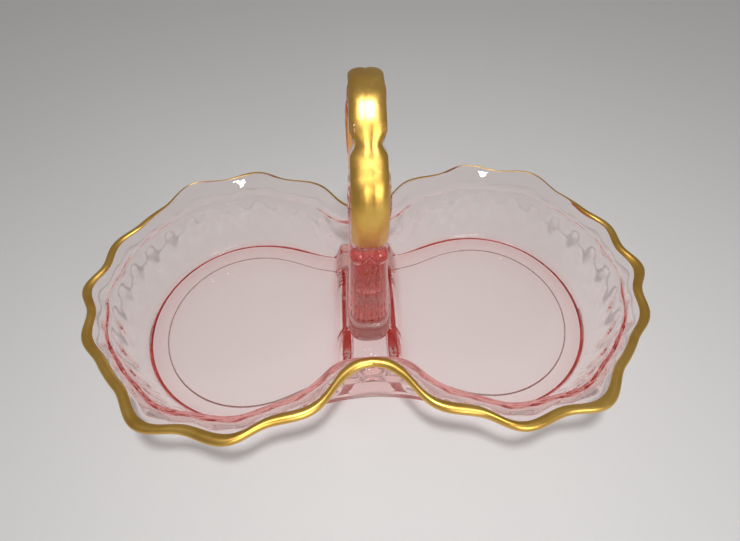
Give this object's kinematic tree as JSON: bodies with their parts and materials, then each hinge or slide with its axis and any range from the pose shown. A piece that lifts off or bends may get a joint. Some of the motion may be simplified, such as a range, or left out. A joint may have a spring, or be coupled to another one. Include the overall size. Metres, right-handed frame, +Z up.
{
  "type": "candy dish",
  "caption": "Footed pressed-glass candy dish in a figure-of-eight plan, two scalloped wells, a low divider and a tall centre handle, gilded edges.",
  "frame": {"origin": "middle of the footprint, on the surface the dish stands on", "axes": "+X through both wells, +Y across the waist, +Z up through the handle"},
  "size_m": [0.2398, 0.1338, 0.1345],
  "materials": {
    "pink_glass": "clear fire-polished pressed glass, pale pink where thin and deep rose where thick",
    "gold": "bright fired gold, softly worn"
  },
  "bodies": {
    "root": {"bowl_wall": "pink_glass", "floor_plate": "pink_glass", "foot_ring": "pink_glass", "divider_ridge": "pink_glass", "handle_stem": "pink_glass", "handle_loop": "pink_glass", "scroll_curls": "pink_glass", "rim_gilding": "gold", "handle_gilding": "gold"}
  },
  "joints": []
}
